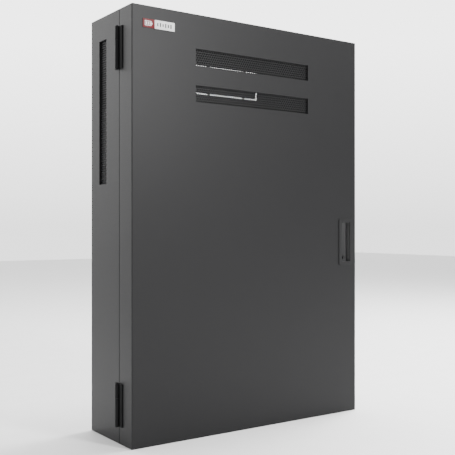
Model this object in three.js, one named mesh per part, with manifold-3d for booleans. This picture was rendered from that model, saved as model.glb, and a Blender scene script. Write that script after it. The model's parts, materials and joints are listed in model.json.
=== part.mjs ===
// Wall-mounted lithium battery pack: a folded steel cabinet with a hinged, vented door, two rows
// of eight prismatic cells, and a plate that carries the battery management unit, the main fuse
// and a two-pole breaker.
// Millimetres, +Z up. The origin is the centre of the cabinet's underside. The door faces -Y and
// its hinges are on the -X side.
import * as THREE from "three";
import { mergeVertices } from "three/addons/utils/BufferGeometryUtils.js";
import Module from "manifold-3d";

// ---- driving dimensions ----
const WIDTH = 650;
const HEIGHT = 950;
const DEPTH = 200;
const SHEET = 1.5; // thickness of the folded steel
const GAP = 0.3; // clearance kept between pieces that touch
const BEND = 2; // outer radius of the folded corners
const DOOR_DEPTH = 57; // from the door's face to the back of its folded edge
const SEAM = 2; // open line between door and body
const FLANGE = 14; // width of the folded edges that face each other at the seam

const LEFT = -WIDTH / 2;
const RIGHT = WIDTH / 2;
const FRONT = -DEPTH / 2;
const BACK = DEPTH / 2;
const DOOR_BACK = FRONT + DOOR_DEPTH;
const BODY_FRONT = DOOR_BACK + SEAM;
const OPENING_X = RIGHT - FLANGE; // half width of the doorway
const BACK_PANEL_FACE = BACK - SHEET; // inner face of the back panel

const DOOR_VENT = { width: 328, height: 38, centres: { lower: 772, upper: 854 } };
const SIDE_VENT = { width: 36, height: 326, y: 40, z: 733 };
const GRILLE_DEPTH = 4; // how far the slotted face sits behind the sheet
const GRILLE_SHEET = 1;
const GRILLE_RIM = 8;

const KNOCKOUT = { width: 306, height: 72.5, x: 1, z: 848, slit: 3, bridge: 8 };
const KEYHOLE = { x: 250, zs: [60, 760], head: 8, neck: 4.5, rise: 16 };

const HINGE = { length: 93, bases: { lower: 39, upper: 818 }, barrel: 4.8, pin: 2.3, leaf: 2.5 };
const HINGE_AXIS = { x: LEFT - 5.5, y: (DOOR_BACK + BODY_FRONT) / 2 };
const LEAF_WIDTH = 16;
const KNUCKLE_SPLIT = 62; // height of the joint between the fixed and the moving knuckle

const CELL = { width: 71.7, depth: 174, height: 204, terminal: 3, terminalSpacing: 122 };
const CELLS_PER_ROW = 8;
const CELL_PITCH = CELL.width + 0.4;
const CELLS_LEFT = -306;
const CELLS_RIGHT = CELLS_LEFT + CELLS_PER_ROW * CELL_PITCH - 0.4;
const CELLS_BACK = BACK_PANEL_FACE - 2;
const CELLS_FRONT = CELLS_BACK - CELL.depth;
const CELLS_Y = (CELLS_FRONT + CELLS_BACK) / 2;
const ROWS = { lower: 26, upper: 268 }; // height of each row's underside

const HANDLE = { x: 290, z: 435, width: 46, height: 118, pocketWidth: 29, pocketHeight: 100 };
const CABLE_RADIUS = 5.5;

// ---- materials ----
function material(color, roughness, metalness) {
  return new THREE.MeshStandardMaterial({ color, roughness, metalness });
}

const darkPaint = material(0x4b4b4d, 0.55, 0.25);
const hingeBlack = material(0x1c1c1d, 0.4, 0.3);
const handleGrey = material(0x3c3c3e, 0.45, 0.1);
const paddleGrey = material(0x57575a, 0.4, 0.1);
const zincSteel = material(0xa9abae, 0.4, 0.9);
const cellBlue = material(0x2c5f9e, 0.45, 0.05);
const carrierBlack = material(0x222224, 0.6, 0);
const bareAluminium = material(0xb9bbbd, 0.35, 0.9);
const moduleGrey = material(0x8d9093, 0.5, 0.05);
const ceramicWhite = material(0xe4e1d8, 0.4, 0);
const rubberBlack = material(0x17171a, 0.8, 0);
const cableRed = material(0xa8201c, 0.55, 0);
const badgeRed = material(0xc8202a, 0.4, 0);
const copper = material(0xb87333, 0.35, 0.95);

// ---- solids ----
const library = await Module();
library.setup();

function solidOf(geometry) {
  geometry.deleteAttribute("normal");
  geometry.deleteAttribute("uv");
  const merged = mergeVertices(geometry, 1e-4);
  const vertProperties = merged.attributes.position.array;
  const triVerts = new Uint32Array(merged.index.array);
  return new library.Manifold(new library.Mesh({ numProp: 3, vertProperties, triVerts }));
}

function geometryOf(solid) {
  const mesh = solid.getMesh();
  const geometry = new THREE.BufferGeometry();
  geometry.setAttribute("position", new THREE.BufferAttribute(mesh.vertProperties, 3));
  geometry.setIndex(new THREE.BufferAttribute(mesh.triVerts, 1));
  geometry.computeVertexNormals();
  return geometry;
}

// A box from its limits along each axis.
function block([x0, x1], [y0, y1], [z0, z1]) {
  const geometry = new THREE.BoxGeometry(x1 - x0, y1 - y0, z1 - z0);
  geometry.translate((x0 + x1) / 2, (y0 + y1) / 2, (z0 + z1) / 2);
  return solidOf(geometry);
}

// A round bar that starts at a point and runs along +x, +y or +z.
function rod(axis, radius, [x, y, z], length, sides = 16) {
  const geometry = new THREE.CylinderGeometry(radius, radius, length, sides);
  geometry.translate(0, length / 2, 0);
  if (axis === "x") geometry.rotateZ(-Math.PI / 2);
  if (axis === "z") geometry.rotateX(Math.PI / 2);
  geometry.translate(x, y, z);
  return solidOf(geometry);
}

// An outline drawn across two axes and pushed along the third: "z" takes (x, y) outlines, "y"
// takes (x, z) and "x" takes (y, z).
const PUSH = {
  x: [new THREE.Vector3(0, 1, 0), new THREE.Vector3(0, 0, 1), new THREE.Vector3(1, 0, 0)],
  y: [new THREE.Vector3(1, 0, 0), new THREE.Vector3(0, 0, 1), new THREE.Vector3(0, -1, 0)],
  z: [new THREE.Vector3(1, 0, 0), new THREE.Vector3(0, 1, 0), new THREE.Vector3(0, 0, 1)],
};

function prism(axis, shape, from, to) {
  const settings = { depth: to - from, bevelEnabled: false, curveSegments: 3 };
  const geometry = new THREE.ExtrudeGeometry(shape, settings);
  geometry.applyMatrix4(new THREE.Matrix4().makeBasis(...PUSH[axis]));
  if (axis === "x") geometry.translate(from, 0, 0);
  if (axis === "y") geometry.translate(0, to, 0);
  if (axis === "z") geometry.translate(0, 0, from);
  return solidOf(geometry);
}

function polygon(points) {
  return new THREE.Shape(points.map(([x, y]) => new THREE.Vector2(x, y)));
}

function roundedRectangle([x0, x1], [y0, y1], radius) {
  const shape = new THREE.Shape();
  shape.absarc(x1 - radius, y0 + radius, radius, -Math.PI / 2, 0);
  shape.absarc(x1 - radius, y1 - radius, radius, 0, Math.PI / 2);
  shape.absarc(x0 + radius, y1 - radius, radius, Math.PI / 2, Math.PI);
  shape.absarc(x0 + radius, y0 + radius, radius, Math.PI, Math.PI * 1.5);
  return shape;
}

function joined(solids) {
  return solids.reduce((sum, next) => sum.add(next));
}

function cut(solid, cutters) {
  return cutters.reduce((rest, cutter) => rest.subtract(cutter), solid);
}

function mesh(name, solid, surface, parent, position = [0, 0, 0]) {
  const made = new THREE.Mesh(geometryOf(solid), surface);
  made.name = name;
  made.position.set(...position);
  parent.add(made);
  return made;
}

// ---- groups ----
const pack = new THREE.Group();
const cabinet = new THREE.Group();
const door = new THREE.Group();
const electrics = new THREE.Group();
pack.add(cabinet, door, electrics);

// ---- cabinet ----
function cabinetWrap() {
  const outline = roundedRectangle([LEFT, RIGHT], [0, HEIGHT], BEND);
  const shell = prism("y", outline, BODY_FRONT, BACK);
  const innerX = [LEFT + SHEET, RIGHT - SHEET];
  const innerZ = [SHEET, HEIGHT - SHEET];
  const rearFlange = BACK_PANEL_FACE - GAP - SHEET;
  const ventY = [SIDE_VENT.y - SIDE_VENT.width / 2, SIDE_VENT.y + SIDE_VENT.width / 2];
  const ventZ = [SIDE_VENT.z - SIDE_VENT.height / 2, SIDE_VENT.z + SIDE_VENT.height / 2];
  return cut(shell, [
    block(innerX, [BODY_FRONT + SHEET, rearFlange], innerZ),
    block(innerX, [BACK_PANEL_FACE - GAP, BACK + 1], innerZ),
    block([-OPENING_X, OPENING_X], [BODY_FRONT - 1, BACK + 1], [FLANGE, HEIGHT - FLANGE]),
    block([LEFT - 1, RIGHT + 1], ventY, ventZ),
  ]);
}

// The slit runs round the removable plate and is bridged in the middle and near each corner.
function knockoutSlit() {
  const { width, height, x, z, slit, bridge } = KNOCKOUT;
  const across = [BACK_PANEL_FACE - 1, BACK + 1];
  const outer = block([x - width / 2, x + width / 2], across, [z - height / 2, z + height / 2]);
  const plateX = [x - width / 2 + slit, x + width / 2 - slit];
  const plate = block(plateX, across, [z - height / 2 + slit, z + height / 2 - slit]);
  const bridges = [-1, 0, 1].map((side) => {
    const middle = x + side * width * 0.36;
    return block([middle - bridge / 2, middle + bridge / 2], across, [z - height, z + height]);
  });
  return cut(outer, [plate, ...bridges]);
}

function keyhole(x, z) {
  const through = [x, BACK_PANEL_FACE - 1, z];
  const neckZ = [z, z + KEYHOLE.rise];
  return joined([
    rod("y", KEYHOLE.head, through, SHEET + 2),
    block([x - KEYHOLE.neck, x + KEYHOLE.neck], [BACK_PANEL_FACE - 1, BACK + 1], neckZ),
  ]);
}

function backPanel() {
  const inset = SHEET + GAP;
  const sheetX = [LEFT + inset, RIGHT - inset];
  const sheet = block(sheetX, [BACK_PANEL_FACE, BACK], [inset, HEIGHT - inset]);
  const corners = [-KEYHOLE.x, KEYHOLE.x].flatMap((x) => KEYHOLE.zs.map((z) => keyhole(x, z)));
  return cut(sheet, [knockoutSlit(), ...corners]);
}

// A shallow tray behind a vent: a rim against the sheet, four short walls and a slotted face.
// Drawn facing -y with its rim at y = 0 and its centre on the origin.
function grilleTray(width, height) {
  const halfX = width / 2;
  const halfZ = height / 2;
  const floor = GRILLE_DEPTH - GRILLE_SHEET;
  const slotPitch = 20;
  const slotWidth = 12;
  const slotMargin = 4;
  const rim = block(
    [-halfX - GRILLE_RIM, halfX + GRILLE_RIM],
    [0, GRILLE_SHEET],
    [-halfZ - GRILLE_RIM, halfZ + GRILLE_RIM],
  );
  const walls = block(
    [-halfX - GRILLE_SHEET, halfX + GRILLE_SHEET],
    [0, GRILLE_DEPTH],
    [-halfZ - GRILLE_SHEET, halfZ + GRILLE_SHEET],
  );
  const mouth = block([-halfX, halfX], [-1, floor], [-halfZ, halfZ]);
  const upright = height > width;
  const count = Math.floor((upright ? height : width) / slotPitch);
  const slots = Array.from({ length: count }, (_, i) => {
    const middle = (i - (count - 1) / 2) * slotPitch;
    const along = [middle - slotWidth / 2, middle + slotWidth / 2];
    const across = upright
      ? [-halfX + slotMargin, halfX - slotMargin]
      : [-halfZ + slotMargin, halfZ - slotMargin];
    const through = [0, GRILLE_DEPTH + 1];
    return upright ? block(across, through, along) : block(along, through, across);
  });
  return cut(joined([rim, walls]), [mouth, ...slots]);
}

mesh("cabinet_wrap", cabinetWrap(), darkPaint, cabinet);
mesh("back_panel", backPanel(), darkPaint, cabinet);

for (const [side, turn] of [["left", -1], ["right", 1]]) {
  const tray = grilleTray(SIDE_VENT.width, SIDE_VENT.height);
  const place = [turn * (RIGHT - SHEET - GAP), SIDE_VENT.y, SIDE_VENT.z];
  mesh(`side_grille_${side}`, tray, darkPaint, cabinet, place).rotation.z = (turn * Math.PI) / 2;
}

// ---- door ----
function doorPanel() {
  const outline = roundedRectangle([LEFT, RIGHT], [0, HEIGHT], BEND);
  const shell = prism("y", outline, FRONT, DOOR_BACK);
  const inner = block(
    [LEFT + SHEET, RIGHT - SHEET],
    [FRONT + SHEET, DOOR_BACK - SHEET],
    [SHEET, HEIGHT - SHEET],
  );
  const doorway = [-OPENING_X, OPENING_X];
  const rear = block(doorway, [FRONT + SHEET, DOOR_BACK + 1], [FLANGE, HEIGHT - FLANGE]);
  const halfVent = DOOR_VENT.width / 2;
  const vents = Object.values(DOOR_VENT.centres).map((z) => {
    const span = [z - DOOR_VENT.height / 2, z + DOOR_VENT.height / 2];
    return block([-halfVent, halfVent], [FRONT - 1, FRONT + SHEET + 1], span);
  });
  const holeX = HANDLE.pocketWidth / 2 + 2 + GAP;
  const holeZ = HANDLE.pocketHeight / 2 + 2 + GAP;
  const handleHole = block(
    [HANDLE.x - holeX, HANDLE.x + holeX],
    [FRONT - 1, FRONT + SHEET + 1],
    [HANDLE.z - holeZ, HANDLE.z + holeZ],
  );
  return cut(shell, [inner, rear, handleHole, ...vents]);
}

// A foam ring stuck to the door's folded edge.
function doorGasket() {
  const inset = 4;
  const width = 8;
  const outer = inset + width;
  const layer = [DOOR_BACK + GAP, BODY_FRONT - GAP];
  const ring = block([LEFT + inset, RIGHT - inset], layer, [inset, HEIGHT - inset]);
  const hole = block(
    [LEFT + outer, RIGHT - outer],
    [DOOR_BACK - 1, BODY_FRONT + 1],
    [outer, HEIGHT - outer],
  );
  return ring.subtract(hole);
}

// A hat-section rail behind the door's face, below the vents.
function doorStiffener() {
  const face = FRONT + SHEET + GAP;
  const outline = polygon([
    [face, 620], [face + SHEET, 620], [face + SHEET, 632], [face + 11, 632],
    [face + 11, 668], [face + SHEET, 668], [face + SHEET, 680], [face, 680],
    [face, 666.5], [face + 9.5, 666.5], [face + 9.5, 633.5], [face, 633.5],
  ]);
  return prism("x", outline, -285, 285);
}

mesh("door_panel", doorPanel(), darkPaint, door);
mesh("door_gasket", doorGasket(), rubberBlack, door);
mesh("door_stiffener", doorStiffener(), darkPaint, door);

for (const [level, z] of Object.entries(DOOR_VENT.centres)) {
  const tray = grilleTray(DOOR_VENT.width, DOOR_VENT.height);
  mesh(`door_grille_${level}`, tray, darkPaint, door, [0, FRONT + SHEET + GAP, z]);
}

const badge = block([-299, -220], [FRONT - GAP - 0.8, FRONT - GAP], [902, 921]);
mesh("badge", badge, badgeRed, door);

// ---- hinges: drawn with the pin's axis on the local z axis ----
function hingeLeaf(side, knuckle, notch) {
  const plateX = [-HINGE_AXIS.x + LEFT - GAP - HINGE.leaf, -HINGE_AXIS.x + LEFT - GAP];
  const plateY = side > 0 ? [1, LEAF_WIDTH] : [-LEAF_WIDTH, -1];
  const clearance = HINGE.barrel + 0.5;
  const plate = block(plateX, plateY, [0, HINGE.length]);
  const room = block([0, 10], [-clearance, clearance], notch);
  const barrel = rod("z", HINGE.barrel, [0, 0, knuckle[0]], knuckle[1] - knuckle[0], 20);
  const bore = rod("z", HINGE.pin + 0.45, [0, 0, -1], HINGE.length + 2);
  return cut(joined([plate.subtract(room), barrel]), [bore]);
}

for (const [level, base] of Object.entries(HINGE.bases)) {
  const place = [HINGE_AXIS.x, HINGE_AXIS.y, base];
  const lowKnuckle = [0, KNUCKLE_SPLIT - GAP / 2];
  const highKnuckle = [KNUCKLE_SPLIT + GAP / 2, HINGE.length];
  const fixedLeaf = hingeLeaf(1, lowKnuckle, [KNUCKLE_SPLIT - GAP, HINGE.length + 1]);
  const movingLeaf = hingeLeaf(-1, highKnuckle, [-1, KNUCKLE_SPLIT + GAP]);
  const pin = rod("z", HINGE.pin, [0, 0, -1.5], HINGE.length + 3);
  mesh(`hinge_${level}_body_leaf`, fixedLeaf, hingeBlack, cabinet, place);
  mesh(`hinge_${level}_door_leaf`, movingLeaf, hingeBlack, door, place);
  mesh(`hinge_${level}_pin`, pin, zincSteel, cabinet, place);
}

// ---- handle and latch: drawn from the handle's centre on the door's face, y into the door ----
const PADDLE = { left: -13.2, right: 2.8, front: 0.5, thickness: 3, halfHeight: 49.3 };
const PADDLE_PIVOT = { x: -10.7, y: PADDLE.front + PADDLE.thickness / 2, radius: 1.2 };
const LOCK = { x: -4.4, z: -40, radius: 4.2 };
const BOLT = { tip: 30, tail: 2, front: 61.1, thickness: 8, halfHeight: 10 };
const DISH_WALL = 2;
const DISH_DEPTH = 24;

function handleBezel() {
  const halfX = HANDLE.pocketWidth / 2;
  const halfZ = HANDLE.pocketHeight / 2;
  const rim = roundedRectangle(
    [-HANDLE.width / 2, HANDLE.width / 2],
    [-HANDLE.height / 2, HANDLE.height / 2],
    4,
  );
  const flange = prism("y", rim, -GAP - 1.5, -GAP);
  const dish = block(
    [-halfX - DISH_WALL, halfX + DISH_WALL],
    [-1, DISH_DEPTH],
    [-halfZ - DISH_WALL, halfZ + DISH_WALL],
  );
  const pocket = block([-halfX, halfX], [-3, DISH_DEPTH - DISH_WALL], [-halfZ, halfZ]);
  const pivotStart = [PADDLE_PIVOT.x, PADDLE_PIVOT.y, -halfZ - DISH_WALL - 1];
  const pivotBore = rod("z", PADDLE_PIVOT.radius + 0.4, pivotStart, HANDLE.pocketHeight + 6, 12);
  return cut(joined([flange, dish]), [pocket, pivotBore]);
}

function handlePaddle() {
  const { left, right, front, thickness, halfHeight } = PADDLE;
  const tall = [-halfHeight, halfHeight];
  const plate = block([left, right], [front, front + thickness], tall);
  const lip = block([right - 2.5, right], [front, front + 8], tall);
  const pivotLength = HANDLE.pocketHeight + 2 * DISH_WALL - 1;
  const pivotStart = [PADDLE_PIVOT.x, PADDLE_PIVOT.y, -pivotLength / 2];
  const pivot = rod("z", PADDLE_PIVOT.radius, pivotStart, pivotLength, 12);
  const lockHole = rod("y", LOCK.radius + 0.4, [LOCK.x, front - 1, LOCK.z], thickness + 2);
  return joined([plate, lip, pivot]).subtract(lockHole);
}

function lockCylinder() {
  const barrel = rod("y", LOCK.radius, [LOCK.x, PADDLE.front, LOCK.z], 9);
  const keyway = [LOCK.x - 0.6, LOCK.x + 0.6];
  const slot = block(keyway, [PADDLE.front - 1, PADDLE.front + 3], [LOCK.z - 2.6, LOCK.z + 2.6]);
  return barrel.subtract(slot);
}

function latchCase() {
  const room = 0.4;
  const body = block([-12, 16], [DISH_DEPTH + GAP, BOLT.front + BOLT.thickness + 2], [-20, 20]);
  const channel = block(
    [BOLT.tail - 12 - 1, 17],
    [BOLT.front - room, BOLT.front + BOLT.thickness + room],
    [-BOLT.halfHeight - room, BOLT.halfHeight + room],
  );
  return body.subtract(channel);
}

// The tip is sloped on its inner side, so that closing the door pushes the bolt back.
function latchBolt() {
  const { tip, tail, front, thickness, halfHeight } = BOLT;
  const outline = polygon([
    [tail, front], [tip, front], [tip, front + 2],
    [tip - 7, front + thickness], [tail, front + thickness],
  ]);
  return prism("z", outline, -halfHeight, halfHeight);
}

const handle = new THREE.Group();
handle.position.set(HANDLE.x, FRONT, HANDLE.z);
door.add(handle);
mesh("handle_bezel", handleBezel(), handleGrey, handle);
mesh("handle_paddle", handlePaddle(), paddleGrey, handle);
mesh("lock_cylinder", lockCylinder(), zincSteel, handle);
mesh("latch_case", latchCase(), zincSteel, handle);
mesh("latch_bolt", latchBolt(), zincSteel, handle);

// ---- supports for the cell rows ----
const WALL_X = RIGHT - SHEET - GAP; // where a bracket meets a side wall
const BEARER_FRONT = BODY_FRONT + 5;

// A folded bearer: its top carries the lower row, and its two legs stand on the cabinet's floor.
function lowerBearer() {
  const top = ROWS.lower - GAP;
  const floor = SHEET + GAP;
  const spanX = [CELLS_LEFT, CELLS_RIGHT];
  const legs = [BEARER_FRONT, 80].map((y) => block(spanX, [y, y + 2], [floor, top - 1]));
  return joined([block(spanX, [CELLS_FRONT, CELLS_BACK], [top - 2, top]), ...legs]);
}

// The upper shelf reaches both walls with turned-down lugs, and stops short of them at the back,
// where the cables pass.
function upperShelf() {
  const top = ROWS.upper - GAP;
  const lugY = [BEARER_FRONT, 40];
  const plate = block([CELLS_LEFT, CELLS_RIGHT], [CELLS_FRONT, CELLS_BACK], [top - 2, top]);
  const arms = block([-WALL_X, WALL_X], lugY, [top - 2, top]);
  const leftLug = block([-WALL_X, -WALL_X + 2], lugY, [top - 26, top - 1]);
  const rightLug = block([WALL_X - 2, WALL_X], lugY, [top - 26, top - 1]);
  return joined([plate, arms, leftLug, rightLug]);
}

// Holds the cells together sideways, with a foot that lies on the bearer or shelf arms.
function endPlate() {
  const x = CELLS_RIGHT + GAP;
  return block([x, x + 3], [-15, 85], [0, 190]);
}

// A band across the front of a row, turned back round its two ends.
function frontBand() {
  const face = CELLS_FRONT - GAP;
  const tall = [80, 110];
  const reach = 45;
  const leftX = CELLS_LEFT - GAP;
  const rightX = CELLS_RIGHT + GAP;
  return joined([
    block([leftX - 1.2, rightX + 1.2], [face - 1.2, face], tall),
    block([leftX - 1.2, leftX], [face - 1, face + reach], tall),
    block([rightX, rightX + 1.2], [face - 1, face + reach], tall),
  ]);
}

mesh("lower_bearer", lowerBearer(), zincSteel, cabinet);
mesh("upper_shelf", upperShelf(), zincSteel, cabinet);

// ---- cells, drawn with the centre of the underside on the origin ----
const TERMINAL_Y = CELL.terminalSpacing / 2;

function prismaticCell() {
  const halfX = CELL.width / 2;
  const halfY = CELL.depth / 2;
  const can = block([-halfX, halfX], [-halfY, halfY], [0, CELL.height]);
  const posts = [-TERMINAL_Y, TERMINAL_Y].map((y) =>
    rod("z", 9, [0, y, CELL.height - 1], CELL.terminal + 1, 8),
  );
  return joined([can, ...posts]);
}

// The moulded carrier lies on the cells' lids. Its links join each cell to the next, in turn at
// the front and at the back, and a single tab at each end of the row takes the cable.
function busbarCarrier() {
  const plateZ = [CELL.height + GAP, CELL.height + 3.8];
  const linkZ = [CELL.height + CELL.terminal + GAP, CELL.height + CELL.terminal + 3];
  const firstX = CELLS_LEFT + CELL.width / 2;
  const window = 11;
  const halfLink = 10;
  const margin = 4;
  const depthY = [CELLS_FRONT + margin, CELLS_BACK - margin];
  const plate = block([CELLS_LEFT + margin, CELLS_RIGHT - margin], depthY, plateZ);
  const windows = [];
  const links = [];
  for (let i = 0; i < CELLS_PER_ROW; i += 1) {
    const x = firstX + i * CELL_PITCH;
    const atFront = i % 2 === 0;
    const linkY = CELLS_Y + (atFront ? -TERMINAL_Y : TERMINAL_Y);
    const isLast = i === CELLS_PER_ROW - 1;
    for (const y of [CELLS_Y - TERMINAL_Y, CELLS_Y + TERMINAL_Y]) {
      windows.push(block([x - window, x + window], [y - window, y + window], [0, 250]));
    }
    const farEnd = isLast ? x + 14 : x + CELL_PITCH + 14;
    links.push(block([x - 14, farEnd], [linkY - halfLink, linkY + halfLink], linkZ));
  }
  const startY = CELLS_Y + TERMINAL_Y;
  links.push(block([firstX - 14, firstX + 14], [startY - halfLink, startY + halfLink], linkZ));
  return joined([cut(plate, windows), ...links]);
}

function addRow(level, firstNumber) {
  const row = new THREE.Group();
  row.position.z = ROWS[level];
  cabinet.add(row);
  for (let i = 0; i < CELLS_PER_ROW; i += 1) {
    const name = `cell_${String(firstNumber + i).padStart(2, "0")}`;
    const x = CELLS_LEFT + CELL.width / 2 + i * CELL_PITCH;
    mesh(name, prismaticCell(), cellBlue, row, [x, CELLS_Y, 0]);
  }
  mesh(`busbar_carrier_${level}`, busbarCarrier(), carrierBlack, row);
  mesh(`end_plate_${level}`, endPlate(), zincSteel, row);
  mesh(`front_band_${level}`, frontBand(), zincSteel, row);
}

addRow("lower", 1);
addRow("upper", 1 + CELLS_PER_ROW);

// ---- electrics ----
const PLATE = { halfWidth: 293, front: 58, bottom: 505, top: 750 };
const PLATE_FACE = PLATE.front - GAP;
const BMS = { x: [-270, -40], z: [545, 715], front: 8, base: 40 };
const FUSE = { x: 25, y: 16, bottom: 570, top: 690, radius: 12 };
const BREAKER = { x: [130, 202], z: [575, 685], front: -15, back: 49.5 };
const TOGGLE = { x: [151, 181], y: -9, z: 630, hub: 6.2, tilt: 35 };
const BUTTON = { x: -70, z: 690, radius: 5, out: 3, travel: 2 };

// A plate that stands off the back panel on two folded sides.
function equipmentPlate() {
  const { halfWidth, front, bottom, top } = PLATE;
  const tall = [bottom, top];
  const behind = BACK_PANEL_FACE - GAP;
  const sides = [-1, 1].flatMap((side) => {
    const edge = side * halfWidth;
    const inner = side * (halfWidth - 2);
    const foot = side * (halfWidth + 13);
    const wall = [Math.min(edge, inner), Math.max(edge, inner)];
    const base = [Math.min(foot, inner), Math.max(foot, inner)];
    return [block(wall, [front, behind], tall), block(base, [behind - 2, behind], tall)];
  });
  return joined([block([-halfWidth, halfWidth], [front, front + 2], tall), ...sides]);
}

function heatSink() {
  const [x0, x1] = BMS.x;
  const fins = 16;
  const pitch = (x1 - x0 - 3) / (fins - 1);
  const comb = Array.from({ length: fins }, (_, i) => {
    const x = x0 + i * pitch;
    return block([x, x + 3], [BMS.base + 2, PLATE_FACE], BMS.z);
  });
  return joined([block(BMS.x, [BMS.base, BMS.base + 4], BMS.z), ...comb]);
}

function bmsCase() {
  const [x0, x1] = BMS.x;
  const bevel = 6;
  const back = BMS.base - GAP;
  const outline = polygon([
    [x0, back], [x0, BMS.front + bevel], [x0 + bevel, BMS.front],
    [x1 - bevel, BMS.front], [x1, BMS.front + bevel], [x1, back],
  ]);
  const bore = rod("y", BUTTON.radius + 0.4, [BUTTON.x, BMS.front - 1, BUTTON.z], 9);
  return prism("z", outline, ...BMS.z).subtract(bore);
}

function bmsButton() {
  const start = BMS.front - BUTTON.out;
  return rod("y", BUTTON.radius, [BUTTON.x, start, BUTTON.z], BUTTON.out + 8 - BUTTON.travel - 1);
}

function fuseBase() {
  const foot = block([FUSE.x - 25, FUSE.x + 25], [34, PLATE_FACE], [FUSE.bottom - 5, FUSE.top + 5]);
  const postX = [FUSE.x - 12, FUSE.x + 12];
  const lowPost = block(postX, [FUSE.y + 6, 35], [FUSE.bottom, FUSE.bottom + 22]);
  const highPost = block(postX, [FUSE.y + 6, 35], [FUSE.top - 22, FUSE.top]);
  return joined([foot, lowPost, highPost]);
}

function mainFuse() {
  const tabZ = [FUSE.bottom, FUSE.top];
  const tab = block([FUSE.x - 8, FUSE.x + 8], [FUSE.y + 2.7, FUSE.y + 5.7], tabZ);
  const length = 56;
  const start = [FUSE.x, FUSE.y, (FUSE.bottom + FUSE.top - length) / 2];
  return joined([tab, rod("z", FUSE.radius, start, length, 16)]);
}

function dinRail() {
  const back = PLATE_FACE;
  const middle = (BREAKER.z[0] + BREAKER.z[1]) / 2;
  const lip = 17.5;
  const web = 13.5;
  const outline = polygon([
    [back, middle - web], [back, middle + web], [back - 6.3, middle + web],
    [back - 6.3, middle + lip], [back - 7.5, middle + lip], [back - 7.5, middle + web - 1.2],
    [back - 1.2, middle + web - 1.2], [back - 1.2, middle - web + 1.2],
    [back - 7.5, middle - web + 1.2], [back - 7.5, middle - lip], [back - 6.3, middle - lip],
    [back - 6.3, middle - web],
  ]);
  return prism("x", outline, 85, 285);
}

function breakerBody() {
  const body = block(BREAKER.x, [BREAKER.front, BREAKER.back], BREAKER.z);
  const room = [TOGGLE.x[0] - 0.5, TOGGLE.x[1] + 0.5];
  const mouth = block(room, [BREAKER.front - 1, -1.5], [TOGGLE.z - 13, TOGGLE.z + 13]);
  return body.subtract(mouth);
}

// Two levers on one hub, tied by their bar; at rest they point down.
function breakerToggle() {
  const [x0, x1] = TOGGLE.x;
  const hub = rod("x", TOGGLE.hub, [x0, 0, 0], x1 - x0, 12);
  const lever = block([x0, x1], [-20, 0], [-2.5, 2.5]);
  return joined([hub, lever]);
}

function earthBar() {
  const bar = block([230, 285], [52, PLATE_FACE], [520, 535]);
  const studs = [240, 257, 274].map((x) => rod("y", 3, [x, 44, 527.5], 9, 8));
  return joined([bar, ...studs]);
}

mesh("equipment_plate", equipmentPlate(), zincSteel, electrics);
mesh("bms_heat_sink", heatSink(), bareAluminium, electrics);
mesh("bms_case", bmsCase(), moduleGrey, electrics);
mesh("bms_button", bmsButton(), carrierBlack, electrics);
mesh("fuse_base", fuseBase(), carrierBlack, electrics);
mesh("main_fuse", mainFuse(), ceramicWhite, electrics);
mesh("din_rail", dinRail(), zincSteel, electrics);
mesh("breaker_body", breakerBody(), moduleGrey, electrics);
const toggle = mesh("breaker_toggle", breakerToggle(), carrierBlack, electrics);
toggle.position.set(0, TOGGLE.y, TOGGLE.z);
toggle.rotation.x = THREE.MathUtils.degToRad(TOGGLE.tilt);
mesh("earth_bar", earthBar(), copper, electrics);

// ---- cables ----
function cable(points) {
  const stops = points.map(([x, y, z]) => new THREE.Vector3(x, y, z));
  const path = new THREE.CatmullRomCurve3(stops, false, "centripetal");
  const sides = 8;
  const section = polygon(Array.from({ length: sides }, (_, i) => {
    const angle = (2 * Math.PI * i) / sides;
    return [CABLE_RADIUS * Math.cos(angle), CABLE_RADIUS * Math.sin(angle)];
  }));
  const steps = Math.ceil(path.getLength() / (4 * CABLE_RADIUS));
  const settings = { steps, extrudePath: path, bevelEnabled: false };
  return solidOf(new THREE.ExtrudeGeometry(section, settings));
}

const CABLE_LIFT = 1.5; // cable above the tab that its lug is bolted to
const LUG_HEIGHT = CELL.height + CELL.terminal + 3 + CABLE_LIFT + CABLE_RADIUS;
const LOW_LUG = ROWS.lower + LUG_HEIGHT;
const HIGH_LUG = ROWS.upper + LUG_HEIGHT;
const END_Y = CELLS_Y + TERMINAL_Y;
const FIRST_X = CELLS_LEFT + CELL.width / 2;
const LAST_X = FIRST_X + (CELLS_PER_ROW - 1) * CELL_PITCH;

const rowLink = cable([
  [LAST_X, END_Y, LOW_LUG], [LAST_X + 26, END_Y, LOW_LUG + 1], [284, END_Y, LOW_LUG + 24],
  [290, END_Y, LOW_LUG + 60], [290, END_Y, HIGH_LUG - 60], [287, END_Y, HIGH_LUG - 20],
  [LAST_X + 32, END_Y, HIGH_LUG + 1], [LAST_X, END_Y, HIGH_LUG + 1],
]);
const packNegative = cable([
  [FIRST_X, END_Y, LOW_LUG], [FIRST_X - 24, END_Y, LOW_LUG], [-313.5, END_Y, LOW_LUG + 22],
  [-314.5, END_Y, LOW_LUG + 60], [-314.5, END_Y, HIGH_LUG - 40], [-312, 54, HIGH_LUG],
  [-292, 28, 504], [-262, 22, 508], [-242, 22, 518], [-240, 22, 530], [-240, 22, BMS.z[0] - 1],
]);
const packPositive = cable([
  [FIRST_X, END_Y, HIGH_LUG], [FIRST_X + 30, END_Y, HIGH_LUG], [-170, 50, HIGH_LUG + 4],
  [-60, 28, HIGH_LUG + 6], [5, 21, 502], [24, 20.2, 530], [FUSE.x, 20.2, 548],
  [FUSE.x, 20.2, FUSE.bottom - 1],
]);
const fuseToBreaker = cable([
  [FUSE.x, 20.2, FUSE.top + 1], [FUSE.x, 19, FUSE.top + 10], [34, 15, 712], [60, 12, 716],
  [112, 12, 716], [140, 15, 711], [148, 17, 700], [148, 17, BREAKER.z[1] + 1],
]);
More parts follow.
